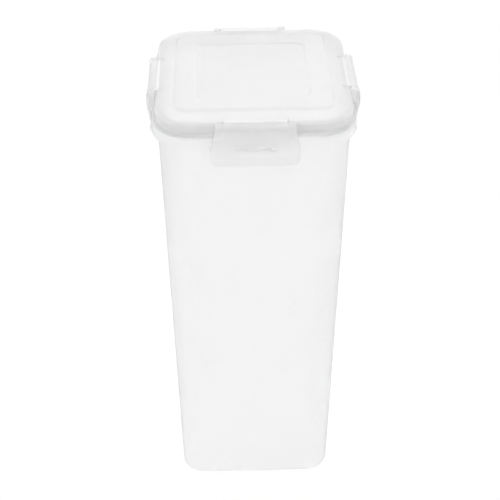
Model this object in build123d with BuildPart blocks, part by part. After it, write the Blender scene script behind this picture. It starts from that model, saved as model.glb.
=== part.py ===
from build123d import *
import os

# A tall square bread keeper in milky polypropylene: an open tub, a lid with four
# fold-down latches, and a soft seal in the lid. All sizes are in millimetres.
# The keeper stands on z = 0, centred on the Z axis, with its front towards -Y.

# Tub
tub_height = 351.9       # floor to the top of the rim
base_width = 123.6       # outside, where the sides meet the floor plane
base_corner = 18.0       # radius of the upright corners at the base
tub_wall = 1.6
floor_wall = 2.0
base_round = 6.0         # rounded edge round the foot
foot_recess = 1.2        # the middle of the base is raised off the table
foot_ring = 9.0          # width of the ring that it stands on
rim_round = 0.4

# Collar round the mouth of the tub, an outward flange turned down at its edge
rim_rise = 5.1           # rim above the top of the collar
collar_overhang = 2.0    # collar beyond the lid's edge, on each side
collar_height = 8.7
collar_wall = 1.5
collar_plate = 1.8
collar_round = 1.0
lug_width = 6.0
lug_drop = 0.9           # the lugs hang below the collar's lower edge
lug_spread = 16.6        # from the middle of one lug to the other, on each side

# Lid
lid_width = 138.0
lid_corner = 24.5
edge_plate = 2.9         # thickness of the lid over the seal
edge_round = 2.8
skirt_wall = 1.3
skirt_depth = 3.9
rim_clearance = 0.5      # skirt to the outside of the rim
plug_clearance = 0.6     # plug wall to the inside of the rim
plug_wall = 1.5
plug_depth = 7.4
lid_wall = 1.5           # thickness of the middle of the lid
crown_rise = 1.5         # slope of the border, up towards the middle
panel_width = 112.0      # outside of the raised frame, at its foot
panel_corner = 9.0
panel_rise = 1.7
panel_slope = 2.2        # width of the slope up to the raised frame
panel_round = 1.2
centre_width = 80.0      # sunk middle of the lid, at its upper edge
centre_corner = 6.5
centre_drop = 0.9
centre_slope = 1.4

# Seal
seal_height = 2.0
seal_clearance = 0.15    # to each wall of its groove

# Living hinges
hinge_inset = 1.9        # hinge line behind the lid's edge
hinge_length = 43.0
web_width = 1.6
web_thickness = 0.45
web_sink = 0.1           # below the top of the lid's edge
pocket_depth = 2.0       # the lid's edge is cut back this far under a latch
notch_width = 1.1
notch_length = 5.0       # reaches into the lid from the pocket
notch_depth = 0.5

# Latches
latch_wall = 1.4
latch_top_width = 54.0
tab_width = 61.6
tab_corner = 4.5
shelf_drop = 0.5         # the shelf slopes down towards its outer edge
plate_bulge = 1.9        # upper part of the plate, outside its waist
plate_fall = 9.4         # straight upper part of the plate
bend_round = 2.6
bulge_round = 14.0       # where the plate turns in under its bulge
waist_round = 7.0
crease_round = 1.5
collar_clearance = 0.3   # latch to the outside of the collar
lip_height = 5.8
lip_flare = 1.4
pad_thickness = 0.5      # stiffening pads at both ends of the latch
pad_fall = 12.0
end_clearance = 0.4      # free ends of the latch to the lid's edge
window_width = 27.0
window_height = 4.0
window_corner = 0.8
crease_drop = 5.5        # window's lower edge to the crease
catch_gap = 0.4          # catch below the lugs
catch_height = 1.0       # thickness of the catch at its tip
catch_foot = 2.4         # and where it meets the latch
catch_grip = 1.2         # how far the catch reaches in under the lugs
hook_rise = 1.4          # hooks of the catch above the rib that joins them

# Heights that follow
rim_z = tub_height
collar_top_z = rim_z - rim_rise
collar_bottom_z = collar_top_z - collar_height
groove_z = rim_z + seal_height
shoulder_z = groove_z + edge_plate
skirt_bottom_z = groove_z - skirt_depth
crown_z = shoulder_z + crown_rise
panel_z = crown_z + panel_rise
centre_z = panel_z - centre_drop
web_top_z = shoulder_z - web_sink
catch_z = collar_bottom_z - lug_drop - catch_gap
crease_z = catch_z - crease_drop
tab_bottom_z = crease_z - lip_height

# Widths and corners that follow
skirt_inner_width = lid_width - 2 * skirt_wall
mouth_width = skirt_inner_width - 2 * rim_clearance
mouth_corner = lid_corner - skirt_wall - rim_clearance
plug_width = mouth_width - 2 * (tub_wall + plug_clearance)
plug_corner = mouth_corner - tub_wall - plug_clearance
collar_width = lid_width + 2 * collar_overhang
collar_corner = lid_corner + collar_overhang
hinge_r = lid_width / 2 - hinge_inset
waist_r = collar_width / 2 + collar_clearance + latch_wall / 2
shelf_r = waist_r + plate_bulge

side_angles = {"front": 0, "right": 90, "back": 180, "left": 270}


def outward(angle):
    return Vector(0, -1, 0).rotate(Axis.Z, angle)


def section_plane(angle):
    # Local x runs outward through the middle of a side, and local y runs up.
    normal = outward(angle).cross(Vector(0, 0, 1))
    return Plane(origin=(0, 0, 0), x_dir=outward(angle), z_dir=normal)


def face_plane(angle):
    # Local x runs along a side, and local y runs up.
    along = Vector(0, 0, 1).cross(outward(angle))
    return Plane(origin=(0, 0, 0), x_dir=along, z_dir=outward(angle))


def tub_width_at(z):
    return base_width + (mouth_width - base_width) * z / rim_z


def tub_corner_at(z):
    return base_corner + (mouth_corner - base_corner) * z / rim_z


# Tub: a drafted square beaker with rounded corners
with BuildPart() as tub_hollow:
    with BuildSketch(Plane.XY.offset(floor_wall)):
        hollow_width = tub_width_at(floor_wall) - 2 * tub_wall
        RectangleRounded(hollow_width, hollow_width, tub_corner_at(floor_wall) - tub_wall)
    with BuildSketch(Plane.XY.offset(rim_z)):
        hollow_width = mouth_width - 2 * tub_wall
        RectangleRounded(hollow_width, hollow_width, mouth_corner - tub_wall)
    loft()
    fillet(tub_hollow.edges().group_by(Axis.Z)[0], radius=base_round - tub_wall)

with BuildPart() as tub:
    with BuildSketch():
        RectangleRounded(base_width, base_width, base_corner)
    with BuildSketch(Plane.XY.offset(rim_z)):
        RectangleRounded(mouth_width, mouth_width, mouth_corner)
    loft()
    fillet(tub.edges().group_by(Axis.Z)[0], radius=base_round)
    fillet(tub.edges().group_by(Axis.Z)[-1], radius=rim_round)
    with BuildSketch(Plane.XY.offset(collar_bottom_z)):
        RectangleRounded(collar_width, collar_width, collar_corner)
        ring_width = collar_width - 2 * collar_wall
        RectangleRounded(ring_width, ring_width, collar_corner - collar_wall, mode=Mode.SUBTRACT)
    extrude(amount=collar_height)
    with BuildSketch(Plane.XY.offset(collar_top_z - collar_plate)):
        RectangleRounded(collar_width, collar_width, collar_corner)
    extrude(amount=collar_plate)
    collar_face = tub.faces().filter_by(Axis.Z).filter_by(
        lambda face: abs(face.center().Z - collar_top_z) < 0.01).sort_by(SortBy.AREA)[-1]
    fillet(collar_face.outer_wire().edges(), radius=collar_round)
    for angle in side_angles.values():
        with BuildSketch(face_plane(angle).offset(collar_width / 2 - collar_wall)):
            with Locations((-lug_spread / 2, collar_bottom_z), (lug_spread / 2, collar_bottom_z)):
                Rectangle(lug_width, 2 * lug_drop)
        extrude(amount=collar_wall)
    with BuildSketch():
        recess_width = base_width - 2 * foot_ring
        RectangleRounded(recess_width, recess_width, base_corner - foot_ring / 2)
    extrude(amount=foot_recess, mode=Mode.SUBTRACT)
    add(tub_hollow.part, mode=Mode.SUBTRACT)


# Lid
with BuildPart() as lid:
    with BuildSketch(Plane.XY.offset(skirt_bottom_z)):
        RectangleRounded(lid_width, lid_width, lid_corner)
    extrude(amount=shoulder_z - skirt_bottom_z)
    fillet(lid.edges().group_by(Axis.Z)[-1], radius=edge_round)
    with BuildSketch(Plane.XY.offset(shoulder_z)):
        crown_width = lid_width - 2 * edge_round
        RectangleRounded(crown_width, crown_width, lid_corner - edge_round)
    with BuildSketch(Plane.XY.offset(crown_z)):
        RectangleRounded(panel_width, panel_width, panel_corner)
    loft()
    with BuildSketch(Plane.XY.offset(crown_z)):
        RectangleRounded(panel_width, panel_width, panel_corner)
    with BuildSketch(Plane.XY.offset(panel_z)):
        panel_top = panel_width - 2 * panel_slope
        RectangleRounded(panel_top, panel_top, panel_corner - panel_slope)
    loft()
    fillet(lid.edges().group_by(Axis.Z)[-1], radius=panel_round)
    with BuildSketch(Plane.XY.offset(centre_z)):
        centre_floor = centre_width - 2 * centre_slope
        RectangleRounded(centre_floor, centre_floor, centre_corner - centre_slope)
    with BuildSketch(Plane.XY.offset(panel_z)):
        RectangleRounded(centre_width, centre_width, centre_corner)
    loft(mode=Mode.SUBTRACT)
    # Underside: the groove for the seal and the rim, and the hollow inside the plug
    with BuildSketch(Plane.XY.offset(skirt_bottom_z)):
        skirt_corner = lid_corner - skirt_wall
        RectangleRounded(skirt_inner_width, skirt_inner_width, skirt_corner)
    extrude(amount=skirt_depth, mode=Mode.SUBTRACT)
    with BuildSketch(Plane.XY.offset(groove_z - plug_depth)):
        RectangleRounded(plug_width, plug_width, plug_corner)
    extrude(amount=plug_depth)
    with BuildSketch(Plane.XY.offset(groove_z - plug_depth)):
        bore_width = plug_width - 2 * plug_wall
        RectangleRounded(bore_width, bore_width, plug_corner - plug_wall)
    extrude(amount=shoulder_z - lid_wall - groove_z + plug_depth, mode=Mode.SUBTRACT)
    with BuildSketch(Plane.XY.offset(groove_z)):
        RectangleRounded(panel_top, panel_top, panel_corner - panel_slope)
    extrude(amount=centre_z - lid_wall - groove_z, mode=Mode.SUBTRACT)
    # Under each latch the edge is cut back, with a notch at each end of the hinge
    for angle in side_angles.values():
        with BuildSketch(section_plane(angle)):
            with Locations((hinge_r - web_width / 2, shoulder_z - pocket_depth)):
                Rectangle(lid_width, lid_width, align=(Align.MIN, Align.MIN))
        extrude(amount=hinge_length / 2 + notch_width, both=True, mode=Mode.SUBTRACT)
        with BuildSketch(face_plane(angle).offset(hinge_r - web_width / 2 - notch_length)):
            for turn in (-1, 1):
                with Locations((turn * (hinge_length + notch_width) / 2, shoulder_z)):
                    Rectangle(notch_width, 2 * notch_depth)
        extrude(amount=notch_length + web_width, mode=Mode.SUBTRACT)


# Seal: a square ring of silicone at the top of the lid's groove
with BuildPart() as lid_seal:
    with BuildSketch(Plane.XY.offset(rim_z)):
        seal_outer = skirt_inner_width - 2 * seal_clearance
        RectangleRounded(seal_outer, seal_outer, lid_corner - skirt_wall - seal_clearance)
        seal_inner = plug_width + 2 * seal_clearance
        RectangleRounded(seal_inner, seal_inner, plug_corner + seal_clearance, mode=Mode.SUBTRACT)
    extrude(amount=seal_height)


def latch_path():
    # Middle of the latch's thickness in section, from the hinge down to the tip of the tab
    top = web_top_z - latch_wall / 2
    return FilletPolyline(
        (hinge_r + web_width / 2, top),
        (shelf_r, top - shelf_drop),
        (shelf_r, top - shelf_drop - plate_fall),
        (waist_r, catch_z - latch_wall),
        (waist_r, crease_z),
        (waist_r + lip_flare, tab_bottom_z),
        radius=[bend_round, bulge_round, waist_round, crease_round],
    )


# Latch, drawn at the front: a shelf at the hinge, a plate down over the collar, a flared lip
with BuildPart() as latch:
    # Thick pads at both ends of the upper part
    with BuildSketch(section_plane(0)):
        with BuildLine():
            latch_path()
        trace(line_width=latch_wall + 2 * pad_thickness)
        with Locations((hinge_r, web_top_z - pad_fall)):
            Rectangle(lid_width, lid_width, align=(Align.CENTER, Align.MAX), mode=Mode.SUBTRACT)
    extrude(amount=latch_top_width / 2, both=True)
    with BuildSketch(face_plane(0)):
        with Locations((0, web_top_z - pad_fall / 2)):
            Rectangle(hinge_length, 2 * pad_fall)
    extrude(amount=collar_width, mode=Mode.SUBTRACT)
    # The plate itself
    with BuildSketch(section_plane(0)):
        with BuildLine():
            latch_path()
        trace(line_width=latch_wall)
    extrude(amount=tab_width / 2, both=True)
    # Beside the hinge both ends are free of the lid's edge
    with BuildSketch(face_plane(0)):
        for turn in (-1, 1):
            with Locations((turn * (hinge_length + latch_top_width) / 2, web_top_z)):
                Rectangle(latch_top_width, 2 * pad_fall)
    extrude(amount=lid_width / 2 + end_clearance, mode=Mode.SUBTRACT)
    # Outline seen from outside: it widens towards the tab
    with BuildSketch(face_plane(0)) as outline:
        with BuildLine():
            Polyline(
                (-latch_top_width / 2, web_top_z + pad_thickness),
                (-latch_top_width / 2, web_top_z - latch_wall),
                (-tab_width / 2, catch_z),
                (-tab_width / 2, tab_bottom_z),
                (tab_width / 2, tab_bottom_z),
                (tab_width / 2, catch_z),
                (latch_top_width / 2, web_top_z - latch_wall),
                (latch_top_width / 2, web_top_z + pad_thickness),
                close=True,
            )
        make_face()
        fillet(outline.vertices().group_by(Axis.Y)[0], radius=tab_corner)
    extrude(amount=collar_width, mode=Mode.INTERSECT)
    with BuildSketch(face_plane(0)):
        with Locations((0, catch_z + window_height / 2)):
            RectangleRounded(window_width, window_height, window_corner)
    extrude(amount=collar_width, mode=Mode.SUBTRACT)

# Catch: a rib behind the window's lower edge, with two hooks that snap in under the lugs
with BuildPart() as catch:
    with BuildSketch(section_plane(0)):
        catch_tip_r = collar_width / 2 - catch_grip
        with BuildLine():
            Polyline(
                (catch_tip_r, catch_z),
                (waist_r, catch_z),
                (waist_r, catch_z - catch_foot),
                (catch_tip_r, catch_z - catch_height),
                close=True,
            )
        make_face()
    extrude(amount=window_width / 2, both=True)
    # Only a hook behind each lug is full height, so that the window shows the tub between them
    with BuildSketch(face_plane(0)):
        with Locations((0, catch_z)):
            Rectangle(window_width, 2 * hook_rise)
        with Locations((-lug_spread / 2, catch_z), (lug_spread / 2, catch_z)):
            Rectangle(lug_width, 2 * hook_rise, mode=Mode.SUBTRACT)
    extrude(amount=collar_width, mode=Mode.SUBTRACT)
    add(latch.part, mode=Mode.SUBTRACT)

# Hinge: a thin web of the same plastic between the lid's edge and the latch
with BuildPart() as hinge:
    with BuildSketch(section_plane(0)):
        with Locations((hinge_r, web_top_z - web_thickness / 2)):
            Rectangle(web_width, web_thickness)
    extrude(amount=hinge_length / 2, both=True)


def export_piece(piece, name):
    piece.label = name
    export_step(piece, f"parts/{name}.step")


os.makedirs("parts", exist_ok=True)
export_piece(tub.part, "tub")
export_piece(lid.part, "lid")
export_piece(lid_seal.part, "lid_seal")
for side, angle in side_angles.items():
    for drawn, kind in ((latch, "latch"), (catch, "catch"), (hinge, "hinge")):
        with BuildPart() as placed:
            add(drawn.part, rotation=(0, 0, angle))
        export_piece(placed.part, f"{side}_{kind}")
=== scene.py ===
import bpy
import math
from mathutils import Matrix, Vector


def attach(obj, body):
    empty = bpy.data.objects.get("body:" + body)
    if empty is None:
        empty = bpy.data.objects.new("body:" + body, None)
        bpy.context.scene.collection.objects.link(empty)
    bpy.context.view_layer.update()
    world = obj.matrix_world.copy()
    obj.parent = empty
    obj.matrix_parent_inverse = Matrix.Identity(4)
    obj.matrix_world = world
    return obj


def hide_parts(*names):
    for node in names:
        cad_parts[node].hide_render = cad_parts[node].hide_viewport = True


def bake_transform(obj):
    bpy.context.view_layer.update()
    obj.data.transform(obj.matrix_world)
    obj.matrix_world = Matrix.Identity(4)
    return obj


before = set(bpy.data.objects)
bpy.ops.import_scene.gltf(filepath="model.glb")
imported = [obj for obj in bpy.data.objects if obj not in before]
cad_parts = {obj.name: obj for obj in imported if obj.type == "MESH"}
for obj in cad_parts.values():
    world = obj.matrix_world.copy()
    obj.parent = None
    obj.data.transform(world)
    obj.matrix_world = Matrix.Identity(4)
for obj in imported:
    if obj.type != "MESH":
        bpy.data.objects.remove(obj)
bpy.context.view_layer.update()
print("frame loaded:", sorted(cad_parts))

mm = 0.001
sides = {"front": 0, "right": 90, "back": 180, "left": 270}  # turned about the upright axis, in degrees


# Colours are written as sRGB hex and turned to linear here
def hexColour(text):
    parts = [int(text[i:i + 2], 16) / 255 for i in (1, 3, 5)]
    return [p / 12.92 if p <= 0.04045 else ((p + 0.055) / 1.055) ** 2.4 for p in parts] + [1.0]


# Adds one node, sets its properties and inputs, and links what is given as a socket
def addNode(tree, kind, settings=None, links=None):
    node = tree.nodes.new(kind)
    for key, value in (settings or {}).items():
        if isinstance(key, int) or key in node.inputs:
            node.inputs[key].default_value = value
        else:
            setattr(node, key, value)
    for key, socket in (links or {}).items():
        tree.links.new(socket, node.inputs[key])
    return node


def newMaterial(name):
    material = bpy.data.materials.new(name)
    material.use_nodes = True
    material.node_tree.nodes.clear()
    return material


# Camera: 0.8 m away and above the lid, looking down past it
view = {
    "distance": 0.8162, "lookHeight": 0.3545, "elevation": 28.766, "turn": 1.445,
    "pitchBelow": 8.83, "roll": -0.279, "sideways": 0.00224, "focalPixels": 1122.5, "frame": 500,
    "sensor": 36, "nearest": 0.01,
}


def makeCamera():
    data = bpy.data.cameras.new("photoCamera")
    data.sensor_width = view["sensor"]
    data.lens = data.sensor_width * view["focalPixels"] / view["frame"]
    data.clip_start = view["nearest"]
    camera = bpy.data.objects.new("photoCamera", data)
    bpy.context.scene.collection.objects.link(camera)
    elevation = math.radians(view["elevation"])
    pitch = elevation + math.radians(view["pitchBelow"])
    back = Matrix.Rotation(-math.radians(view["turn"]), 3, "Z")
    place = Vector((-view["sideways"], -view["distance"] * math.cos(elevation),
                    view["lookHeight"] + view["distance"] * math.sin(elevation)))
    forward = back @ Vector((0, math.cos(pitch), -math.sin(pitch)))
    up = back @ Vector((0, math.sin(pitch), math.cos(pitch)))
    right = forward.cross(up)
    axes = Matrix((right, up, -forward)).transposed()
    turned = axes @ Matrix.Rotation(math.radians(view["roll"]), 3, "Z")
    camera.matrix_world = Matrix.Translation(back @ place) @ turned.to_4x4()
    bpy.context.scene.camera = camera
    print("camera at", tuple(round(c, 3) for c in camera.matrix_world.translation))


# Rays that look at the surroundings, straight or by way of a shine or a clear wall
def seenRay(tree):
    path = addNode(tree, "ShaderNodeLightPath")
    straight = addNode(tree, "ShaderNodeMath", {"operation": "MAXIMUM"},
                       {0: path.outputs["Is Camera Ray"], 1: path.outputs["Is Glossy Ray"]})
    through = addNode(tree, "ShaderNodeMath", {"operation": "MAXIMUM"},
                      {0: straight.outputs[0], 1: path.outputs["Is Transmission Ray"]})
    return through.outputs[0]


# Light: an even white room, a soft box behind that lines the edges of the mouldings, and two small boxes
# above that brighten the lid. Powers are in watts
light = {
    "room": "#FFFFFF", "roomStrength": 0.955, "backdropStrength": 1.0, "lookAt": (0, 0, 0.35),
    "boxes": {
        "edgeBox": {"size": 0.5, "power": 0.7, "place": (0, 0.7, 1.3)},
        "leftTopBox": {"size": 0.2, "power": 1.2, "place": (-0.34, 0.43, 1.53)},
        "rightTopBox": {"size": 0.2, "power": 1.2, "place": (0.39, 0.42, 1.52)},
    },
}


def makeLight():
    world = bpy.data.worlds.new("whiteRoom")
    bpy.context.scene.world = world
    world.use_nodes = True
    tree = world.node_tree
    tree.nodes.clear()
    room = addNode(tree, "ShaderNodeBackground", {"Color": hexColour(light["room"]),
                                                  "Strength": light["roomStrength"]})
    backdrop = addNode(tree, "ShaderNodeBackground", {"Color": hexColour(light["room"]),
                                                      "Strength": light["backdropStrength"]})
    both = addNode(tree, "ShaderNodeMixShader", {},
                   {0: seenRay(tree), 1: room.outputs[0], 2: backdrop.outputs[0]})
    addNode(tree, "ShaderNodeOutputWorld", {}, {"Surface": both.outputs[0]})
    for name, values in light["boxes"].items():
        lamp = bpy.data.lights.new(name, "AREA")
        lamp.shape = "SQUARE"
        lamp.size = values["size"]
        lamp.energy = values["power"]
        box = bpy.data.objects.new(name, lamp)
        bpy.context.scene.collection.objects.link(box)
        box.location = values["place"]
        box.rotation_euler = (Vector(light["lookAt"]) - box.location).to_track_quat("-Z", "Y").to_euler()
    print("light ready")


# Table: white, and it keeps a faint shadow of the keeper
table = {"size": 6.0, "paint": "#FFFFFF", "glow": 0.84, "shade": 0.18}


def makeTable():
    size = table["size"]
    mesh = bpy.data.meshes.new("tableTop")
    corners = [(-size, -size, 0), (size, -size, 0), (size, size, 0), (-size, size, 0)]
    mesh.from_pydata(corners, [], [(0, 1, 2, 3)])
    top = bpy.data.objects.new("tableTop", mesh)
    bpy.context.scene.collection.objects.link(top)
    material = newMaterial("whiteSweep")
    tree = material.node_tree
    paint = addNode(tree, "ShaderNodeBsdfDiffuse", {"Color": hexColour(table["paint"])})
    shade = addNode(tree, "ShaderNodeBsdfDiffuse", {"Color": (table["shade"],) * 3 + (1,)})
    glow = addNode(tree, "ShaderNodeEmission", {"Strength": table["glow"]})
    lit = addNode(tree, "ShaderNodeAddShader", {}, {0: shade.outputs[0], 1: glow.outputs[0]})
    mixed = addNode(tree, "ShaderNodeMixShader", {},
                    {0: seenRay(tree), 1: paint.outputs[0], 2: lit.outputs[0]})
    addNode(tree, "ShaderNodeOutputMaterial", {}, {"Surface": mixed.outputs[0]})
    mesh.materials.append(material)


# Natural polypropylene, moulded without pigment: milky, lets light through, a waxy shine. The haze inside the
# wall spreads light more than it bends it, so the index is low, and a thin gloss coat has the plastic's own
# index. Sizes are in millimetres, and "spread" is how far the haze wanders to both sides. A haze below 0.3 on
# the lid makes the render blotchy
plastics = {
    # Satin from a blasted mould: an even fine grain, slow milky bands from the melt, rubbed near the foot, and
    # a rim painted greyer as painted shade, which deepens the dark line under the lid's skirt
    "blastedPolypropyleneTub": {
        "colour": "#FCFCFC", "milk": "#FAFAFA", "haze": 0.6, "spread": 0.08, "clear": 0.65, "index": 1.11,
        "coat": 0.05, "gloss": 0.25, "flowSize": 70, "flowStretch": (1, 1, 0.35),
        "grainSize": 0.9, "grainDepth": 0.012, "scuffs": 0.10, "scuffSize": 9, "rubbedBelow": 26,
        "rimFrom": 346.3, "rim": "#ECECEC",
    },
    # Polished mould: less hazy and glossier than the tub, with fine hair scratches from wiping; its colour is
    # greyer than the tub's as painted shade that offsets the extra light of the boxes above
    "polishedPolypropyleneLid": {
        "colour": "#F6F6F6", "milk": "#F2F2F2", "haze": 0.36, "spread": 0.04, "clear": 0.6, "index": 1.1,
        "coat": 0.55, "gloss": 0.15, "flowSize": 45, "flowStretch": (1, 1, 1),
        "grainSize": 2.2, "grainDepth": 0.008, "scuffs": 0.12, "scuffSize": 5, "rubbedBelow": 0,
    },
    # Etched grip: matte to the touch; its colour is slightly greyer than the tub's as painted shade for the
    # layers behind the plate
    "etchedPolypropyleneLatch": {
        "colour": "#F9F9F9", "milk": "#F6F6F6", "haze": 0.6, "spread": 0.1, "clear": 0.65, "index": 1.11,
        "coat": 0.05, "gloss": 0.22, "flowSize": 18, "flowStretch": (0.4, 1, 1),
        "grainSize": 0.5, "grainDepth": 0.010, "scuffs": 0.15, "scuffSize": 3, "rubbedBelow": 0,
    },
    # Coined thin while hot and bent since: whitened, with faint streaks; the white also stands in as a painted
    # highlight along the hinge line
    "coinedPolypropyleneHinge": {
        "colour": "#FFFFFF", "milk": "#FAFAFA", "haze": 0.6, "spread": 0.1, "clear": 0.3, "index": 1.11,
        "coat": 0.3, "gloss": 0.2, "flowSize": 3, "flowStretch": (0.15, 1, 1),
        "grainSize": 0.3, "grainDepth": 0.010, "scuffs": 0.1, "scuffSize": 2, "rubbedBelow": 0,
    },
    # Painted light: whiter and clearer than the latch, the clearest piece, so that the shaded window in front
    # of it isn't a dark hole
    "paintedLightPolypropyleneCatch": {
        "colour": "#FFFFFF", "milk": "#FDFDFD", "haze": 0.45, "spread": 0.08, "clear": 0.92, "index": 1.08,
        "coat": 0.2, "gloss": 0.2, "flowSize": 8, "flowStretch": (0.3, 1, 1),
        "grainSize": 0.4, "grainDepth": 0.006, "scuffs": 0.1, "scuffSize": 2, "rubbedBelow": 0,
    },
    # Soft silicone: matte and a little milky, with small worn spots
    "mouldedSiliconeSeal": {
        "colour": "#FBFBFA", "milk": "#F2F2F0", "haze": 0.6, "spread": 0.15, "clear": 0.5, "index": 1.15,
        "coat": 0.0, "gloss": 0.4, "flowSize": 6, "flowStretch": (1, 1, 1),
        "grainSize": 0.4, "grainDepth": 0.015, "scuffs": 0.2, "scuffSize": 1.5, "rubbedBelow": 0,
    },
}


# What the patterns of all the plastics share: ranges are of a noise from 0 to 1, the fade of the painted rim
# shade is in millimetres
pattern = {
    "flowDetail": 3.0, "flowRoughness": 0.5, "flowSwirl": 0.6, "flowRange": (0.3, 0.7), "rimFade": 0.4,
    "hairStretch": (1, 0.08, 0.08), "hairTurn": (0.3, 0.5, 0.9), "hairsPerScuff": 10, "hairDetail": 1.0,
    "hairRange": (0.6, 0.75), "patchScuffs": 4, "patchDetail": 2.0, "patchRange": (0.42, 0.68),
    "grainDetail": 2.0, "grainRoughness": 0.6, "coatIndex": 1.49,
}


def makePlastic(name):
    values = plastics[name]
    material = newMaterial(name)
    tree = material.node_tree
    place = addNode(tree, "ShaderNodeTexCoord").outputs["Object"]

    # Slow bands left by the flow of the melt
    stretched = addNode(tree, "ShaderNodeMapping", {"Scale": values["flowStretch"]},
                        {"Vector": place}).outputs[0]
    flow = addNode(tree, "ShaderNodeTexNoise", {
        "Scale": 1 / (values["flowSize"] * mm), "Detail": pattern["flowDetail"],
        "Roughness": pattern["flowRoughness"], "Distortion": pattern["flowSwirl"],
    }, {"Vector": stretched}).outputs["Fac"]
    colour = addNode(tree, "ShaderNodeMix", {
        "data_type": "RGBA", 6: hexColour(values["colour"]), 7: hexColour(values["milk"]),
    }, {0: flow}).outputs[2]
    height = addNode(tree, "ShaderNodeSeparateXYZ", {}, {0: place}).outputs[2]
    # Painted shade: above the rim height the tub is painted greyer, to deepen the dark line under the lid's
    # skirt
    if "rim" in values:
        above = addNode(tree, "ShaderNodeMapRange", {
            "From Min": values["rimFrom"] * mm, "From Max": (values["rimFrom"] + pattern["rimFade"]) * mm,
        }, {"Value": height}).outputs[0]
        colour = addNode(tree, "ShaderNodeMix", {"data_type": "RGBA", 7: hexColour(values["rim"])},
                         {0: above, 6: colour}).outputs[2]
    haze = addNode(tree, "ShaderNodeMapRange", {
        "From Min": pattern["flowRange"][0], "From Max": pattern["flowRange"][1],
        "To Min": values["haze"] - values["spread"], "To Max": values["haze"] + values["spread"],
    }, {"Value": flow}).outputs[0]

    # Hair scratches: thin cells of a stretched noise, only here and there
    across = addNode(tree, "ShaderNodeMapping", {
        "Scale": pattern["hairStretch"], "Rotation": pattern["hairTurn"],
    }, {"Vector": place}).outputs[0]
    hair = addNode(tree, "ShaderNodeTexNoise", {
        "Scale": pattern["hairsPerScuff"] / (values["scuffSize"] * mm), "Detail": pattern["hairDetail"],
    }, {"Vector": across}).outputs["Fac"]
    patch = addNode(tree, "ShaderNodeTexNoise", {
        "Scale": 1 / (pattern["patchScuffs"] * values["scuffSize"] * mm), "Detail": pattern["patchDetail"],
    }, {"Vector": place}).outputs["Fac"]
    thin = addNode(tree, "ShaderNodeMapRange", {
        "From Min": pattern["hairRange"][0], "From Max": pattern["hairRange"][1],
    }, {"Value": hair}).outputs[0]
    sparse = addNode(tree, "ShaderNodeMapRange", {
        "From Min": pattern["patchRange"][0], "From Max": pattern["patchRange"][1],
    }, {"Value": patch}).outputs[0]
    wear = addNode(tree, "ShaderNodeMath", {"operation": "MULTIPLY"}, {0: thin, 1: sparse}).outputs[0]
    if values["rubbedBelow"]:
        low = addNode(tree, "ShaderNodeMapRange", {"From Min": values["rubbedBelow"] * mm, "From Max": 0.0},
                      {"Value": height}).outputs[0]
        rubbed = addNode(tree, "ShaderNodeMath", {"operation": "MULTIPLY"}, {0: low, 1: patch}).outputs[0]
        wear = addNode(tree, "ShaderNodeMath", {"operation": "MAXIMUM"}, {0: wear, 1: rubbed}).outputs[0]
    worn = addNode(tree, "ShaderNodeMath", {"operation": "MULTIPLY_ADD", 1: values["scuffs"]},
                   {0: wear, 2: haze}).outputs[0]

    # Grain of the mould's steel
    grain = addNode(tree, "ShaderNodeTexNoise", {
        "Scale": 1 / (values["grainSize"] * mm), "Detail": pattern["grainDetail"],
        "Roughness": pattern["grainRoughness"],
    }, {"Vector": place}).outputs["Fac"]
    bump = addNode(tree, "ShaderNodeBump", {"Strength": 1.0, "Distance": values["grainDepth"] * mm},
                   {"Height": grain}).outputs[0]

    body = addNode(tree, "ShaderNodeBsdfPrincipled", {
        "IOR": values["index"], "Transmission Weight": values["clear"],
        "Coat Weight": values["coat"], "Coat Roughness": values["gloss"], "Coat IOR": pattern["coatIndex"],
    }, {"Base Color": colour, "Roughness": worn, "Normal": bump})
    addNode(tree, "ShaderNodeOutputMaterial", {}, {"Surface": body.outputs[0]})
    return material


# A piece from points in millimetres, turned to its side of the keeper
def addPiece(name, points, faces, material, turn=0):
    mesh = bpy.data.meshes.new(name)
    spin = Matrix.Rotation(math.radians(turn), 4, "Z") @ Matrix.Scale(mm, 4)
    used = sorted({v for face in faces for v in face})
    number = {old: new for new, old in enumerate(used)}
    mesh.from_pydata([spin @ Vector(points[v]) for v in used], [],
                     [[number[v] for v in face] for face in faces])
    mesh.materials.append(material)
    piece = bpy.data.objects.new(name, mesh)
    bpy.context.scene.collection.objects.link(piece)
    return piece


# Smooth shading that keeps the edges sharper than this angle
def smoothShade(piece, degrees):
    piece.data.shade_smooth()
    piece.data.set_sharp_from_angle(angle=math.radians(degrees))


bevelSteps = 3


# Rounds the edges sharper than this angle, with a width in millimetres
def addBevel(piece, width, degrees):
    bevel = piece.modifiers.new("softEdges", "BEVEL")
    bevel.width = width * mm
    bevel.segments = bevelSteps
    bevel.limit_method = "ANGLE"
    bevel.angle_limit = math.radians(degrees)
    bevel.harden_normals = True


# A flat line with its corners rounded off, as points
def roundedLine(corners, radii, step):
    line = [Vector(corners[0])]
    for before, corner, after, radius in zip(corners, corners[1:], corners[2:], radii):
        corner = Vector(corner)
        inward = (Vector(before) - corner).normalized()
        onward = (Vector(after) - corner).normalized()
        half = inward.angle(onward) / 2
        middle = corner + (inward + onward).normalized() * radius / math.sin(half)
        start = corner + inward * radius / math.tan(half)
        sweep = math.pi - 2 * half
        turn = 1 if inward.cross(onward) < 0 else -1
        steps = max(2, math.ceil(radius * sweep / step))
        for i in range(steps + 1):
            angle = turn * sweep * i / steps
            spoke = start - middle
            line.append(middle + Vector((spoke.x * math.cos(angle) - spoke.y * math.sin(angle),
                                         spoke.x * math.sin(angle) + spoke.y * math.cos(angle))))
    line.append(Vector(corners[-1]))
    return line


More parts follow.
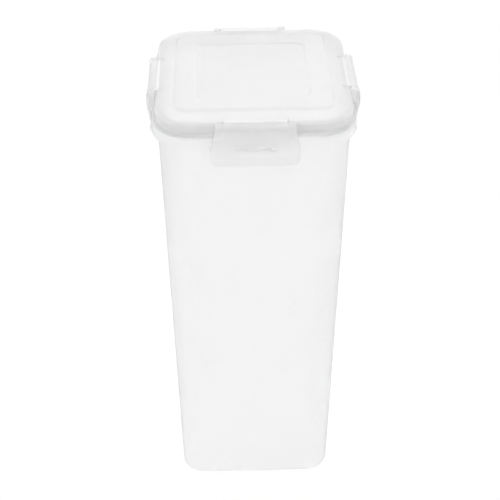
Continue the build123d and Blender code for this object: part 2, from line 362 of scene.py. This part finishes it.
# Extra points on a line, so that none is further apart than the spacing, and some lie at given places
def divideLine(line, spacing, axis, places):
    divided = [line[0]]
    margin = 1e-6
    for a, b in zip(line, line[1:]):
        count = math.ceil((b - a).length / spacing)
        cuts = {i / count for i in range(1, count)}
        for place in places:
            if min(a[axis], b[axis]) + margin < place < max(a[axis], b[axis]) - margin:
                cuts.add((place - a[axis]) / (b[axis] - a[axis]))
        divided += [a.lerp(b, t) for t in sorted(cuts)] + [b]
    return divided


def smoothStep(value, low, high):
    t = min(max((value - low) / (high - low), 0), 1)
    return t * t * (3 - 2 * t)


# Latch: a plate down over the collar, thicker at both ends of its upper part, with a window and a flared lip
latch = {
    "wall": 1.4, "top": 356.7, "start": 67.9, "shelf": 73.9, "shelfDrop": 0.5, "plateFall": 9.4,
    "waist": 72.0, "creaseHeight": 331.3, "lipFlare": 1.4, "bottom": 325.5, "bends": [2.6, 14, 7, 1.5],
    "topWidth": 54.0, "tabWidth": 61.6, "widestFrom": 336.8, "tabCorner": 4.5,
    "windowWidth": 27.0, "windowBottom": 336.8, "windowTop": 340.8,
    "hingeLength": 43.0, "freeFrom": 69.4,
    "padThickness": 0.5, "padBottom": 344.7, "padBlend": 0.9, "padFade": 2.5,
    "edge": 0.4, "smoothBelow": 40, "bevelAbove": 50,
    "bendStep": 0.45, "spacing": 1.1, "cornerRows": (0.25, 0.7, 1.4, 2.2, 3.2),
    "windowSteps": 4, "hingeSteps": 3, "sideShares": (0.4, 0.8, 1),
}


def latchHalfWidth(height):
    top = latch["top"] - latch["wall"]
    share = min(max((top - height) / (top - latch["widestFrom"]), 0), 1)
    half = (latch["topWidth"] + (latch["tabWidth"] - latch["topWidth"]) * share) / 2
    above = max(height - latch["bottom"], 0)
    corner = latch["tabCorner"]
    if above < corner:
        half -= corner - math.sqrt(corner ** 2 - (corner - above) ** 2)
    return half


# Places across the latch: the middle ones are fixed, and the last ones reach the side edge
def latchColumns(half):
    window, hinge = latch["windowWidth"] / 2, latch["hingeLength"] / 2
    inner = [window * i / latch["windowSteps"] for i in range(latch["windowSteps"] + 1)]
    inner += [window + (hinge - window) * i / latch["hingeSteps"] for i in range(1, latch["hingeSteps"])]
    inner += [hinge, hinge + latch["padBlend"] / 2, hinge + latch["padBlend"]]
    right = inner + [inner[-1] + (half - inner[-1]) * share for share in latch["sideShares"]]
    return [-x for x in right[:0:-1]] + right


def makeLatch(side, material):
    top = latch["top"] - latch["wall"] / 2
    corners = [
        (latch["start"], top), (latch["shelf"], top - latch["shelfDrop"]),
        (latch["shelf"], top - latch["shelfDrop"] - latch["plateFall"]),
        (latch["waist"], latch["widestFrom"] - latch["wall"]), (latch["waist"], latch["creaseHeight"]),
        (latch["waist"] + latch["lipFlare"], latch["bottom"]),
    ]
    line = roundedLine(corners, latch["bends"], latch["bendStep"])
    line = divideLine(line, latch["spacing"], 0, [latch["freeFrom"]])
    rounding = [latch["bottom"] + above for above in latch["cornerRows"]]
    line = divideLine(line, latch["spacing"], 1, [latch["windowBottom"], latch["windowTop"]] + rounding)
    rows = []
    for i, point in enumerate(line):
        ahead = line[min(i + 1, len(line) - 1)] - line[max(i - 1, 0)]
        normal = Vector((-ahead.y, ahead.x)).normalized()
        if normal.x + normal.y < 0:
            normal = -normal
        rows.append((point, normal, latchColumns(latchHalfWidth(point.y))))
    hinge = latch["hingeLength"] / 2
    points = []
    for skin in (1, -1):
        for point, normal, across in rows:
            for x in across:
                pad = smoothStep(abs(x), hinge, hinge + latch["padBlend"]) * latch["padThickness"]
                pad *= smoothStep(point.y, latch["padBottom"], latch["padBottom"] + latch["padFade"])
                place = point + normal * skin * (latch["wall"] / 2 + pad)
                points.append((x, -place.x, place.y))
    wide, tall = len(rows[0][2]), len(rows)

    # False outside the latch, in its window, and beside the hinge, where the ends stand clear of the lid
    def kept(row, column):
        if not (0 <= row < tall - 1 and 0 <= column < wide - 1):
            return False
        middle = (rows[row][0] + rows[row + 1][0]) / 2
        x = abs(rows[row][2][column] + rows[row][2][column + 1]) / 2
        inWindow = x < latch["windowWidth"] / 2 and latch["windowBottom"] < middle.y < latch["windowTop"]
        besideHinge = x > hinge and middle.x < latch["freeFrom"] and middle.y > latch["padBottom"]
        return not (inWindow or besideHinge)

    faces = []
    under = wide * tall
    for row in range(tall - 1):
        for column in range(wide - 1):
            if not kept(row, column):
                continue
            a, b = row * wide + column, row * wide + column + 1
            c, d = b + wide, a + wide
            faces.append((a, d, c, b))
            faces.append((a + under, b + under, c + under, d + under))
            for nextRow, nextColumn, p, q in ((row - 1, column, a, b), (row, column + 1, b, c),
                                              (row + 1, column, c, d), (row, column - 1, d, a)):
                if not kept(nextRow, nextColumn):
                    faces.append((p, q, q + under, p + under))
    piece = addPiece(f"{side}LatchPlate", points, faces, material, sides[side])
    smoothShade(piece, latch["smoothBelow"])
    addBevel(piece, latch["edge"], latch["bevelAbove"])
    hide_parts(f"{side}_latch")
    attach(piece, f"{side}_latch")


# Ribs: a thin wall at both ends of each latch, inside its upper part, that closes the view behind the plate.
# The outline is out from the middle of the keeper and up
rib = {
    "thickness": 1.2, "inset": 0.5, "edge": 0.3, "smoothBelow": 40, "bevelAbove": 30,
    "outline": [(69.6, 355.1), (69.6, 348.6), (70.3, 347.5), (71.5, 347.2), (71.5, 343.2), (72.4, 341.6),
                (73.0, 343.0), (73.5, 346.0), (73.5, 354.2), (72.4, 355.2)],
}


def makeRib(side, end, material):
    outer = end * (latch["topWidth"] / 2 - rib["inset"])
    inner = outer - end * rib["thickness"]
    count = len(rib["outline"])
    points = [(x, -reach, height) for x in (inner, outer) for reach, height in rib["outline"]]
    faces = [tuple(range(count)), tuple(range(2 * count - 1, count - 1, -1))]
    faces += [(i, i + count, (i + 1) % count + count, (i + 1) % count) for i in range(count)]
    if end < 0:
        faces = [face[::-1] for face in faces]
    name = f"{side}Latch{'Right' if end > 0 else 'Left'}Rib"
    piece = addPiece(name, points, faces, material, sides[side])
    smoothShade(piece, rib["smoothBelow"])
    addBevel(piece, rib["edge"], rib["bevelAbove"])
    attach(piece, f"{side}_latch")


# Living hinge: a thin web between the lid's edge and the latch, a little hollow along its middle
web = {
    "inner": 66.32, "outer": 67.88, "length": 42.9, "top": 356.7, "thickness": 0.45, "hollow": 0.12,
    "alongSteps": 20, "acrossSteps": 8, "smoothBelow": 50,
}


def makeWeb(side, material):
    points, faces = [], []
    across, along = web["acrossSteps"], web["alongSteps"]
    for skin in (0, 1):
        for i in range(along + 1):
            for j in range(across + 1):
                dip = web["hollow"] * math.sin(math.pi * j / across) ** 2
                height = web["top"] - dip if skin == 0 else web["top"] - web["thickness"]
                reach = web["inner"] + (web["outer"] - web["inner"]) * j / across
                points.append((web["length"] * (i / along - 0.5), -reach, height))
    wide = across + 1
    under = wide * (along + 1)
    for i in range(along):
        for j in range(across):
            a = i * wide + j
            b, c, d = a + 1, a + 1 + wide, a + wide
            faces.append((a, b, c, d))
            faces.append((a + under, d + under, c + under, b + under))
            for atEdge, p, q in ((i == 0, a, b), (j == across - 1, b, c),
                                 (i == along - 1, c, d), (j == 0, d, a)):
                if atEdge:
                    faces.append((q, p, p + under, q + under))
    piece = addPiece(f"{side}HingeWeb", points, faces, material, sides[side])
    smoothShade(piece, web["smoothBelow"])
    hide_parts(f"{side}_hinge")
    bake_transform(piece)


# Seal: a soft silicone ring in the groove under the lid's edge, with two lips that press on the rim
seal = {
    "outer": 134.9, "inner": 130.5, "corner": 23.0, "bottom": 351.96, "top": 353.8,
    "edge": 0.5, "edgeCut": 0.3, "lipDepth": 0.35, "lipShare": 0.6, "cornerSteps": 12, "smoothBelow": 60,
}


def makeSeal(material):
    straight = seal["outer"] / 2 - seal["corner"]
    wide = (seal["outer"] - seal["inner"]) / 2
    low, high, soft, lip = seal["bottom"], seal["top"], seal["edge"], seal["lipDepth"]
    cut, share = seal["edgeCut"], seal["lipShare"]
    # Right half of the section, from the middle of the top round to the middle of the underside
    half = [(wide / 2 - soft, high), (wide / 2 - soft * cut, high - soft * cut), (wide / 2, high - soft),
            (wide / 2, low + soft), (wide / 2 - soft * cut, low + soft * cut), (wide / 2 - soft, low),
            (soft * share, low + lip * share), (0, low + lip)]
    section = [(wide / 2 + x, z) for x, z in half] + [(wide / 2 - x, z) for x, z in half[-2::-1]]
    points, faces = [], []
    steps, count = seal["cornerSteps"], len(section)
    rings = 4 * (steps + 1)
    for number in range(rings):
        corner, i = divmod(number, steps + 1)
        middle = Matrix.Rotation(corner * math.pi / 2, 2) @ Vector((straight, straight))
        angle = (corner + i / steps) * math.pi / 2
        for inset, height in section:
            place = middle + Vector((math.cos(angle), math.sin(angle))) * (seal["corner"] - inset)
            points.append((place.x, place.y, height))
    for i in range(rings):
        for j in range(count):
            onward = (i + 1) % rings * count
            faces.append((i * count + j, i * count + (j + 1) % count, onward + (j + 1) % count, onward + j))
    piece = addPiece("sealRing", points, faces, material)
    smoothShade(piece, seal["smoothBelow"])
    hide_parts("lid_seal")
    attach(piece, "lid")


makeCamera()
makeLight()
makeTable()
materials = {name: makePlastic(name) for name in plastics}
tubFinish, lidFinish, latchFinish, hingeFinish, catchFinish, sealFinish = materials.values()
finishes = {"tub": tubFinish, "lid": lidFinish, "lid_seal": sealFinish}
finishes.update({f"{side}_catch": catchFinish for side in sides})
for name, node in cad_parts.items():
    node.data.materials.clear()
    node.data.materials.append(finishes.get(name, latchFinish))
print("finishes ready")
for side in sides:
    makeLatch(side, latchFinish)
    makeWeb(side, hingeFinish)
    for end in (-1, 1):
        makeRib(side, end, latchFinish)
makeSeal(sealFinish)
print("latches, hinges and seal ready")

scene = bpy.context.scene
scene.view_settings.view_transform = "Standard"
# Light passes many walls before it reaches the camera, and cutting off its bright samples would darken the gaps
scene.cycles.sample_clamp_indirect = 0
scene.cycles.blur_glossy = 0
scene.cycles.max_bounces = 48
scene.cycles.diffuse_bounces = 16
scene.cycles.transmission_bounces = 48
scene.cycles.glossy_bounces = 12
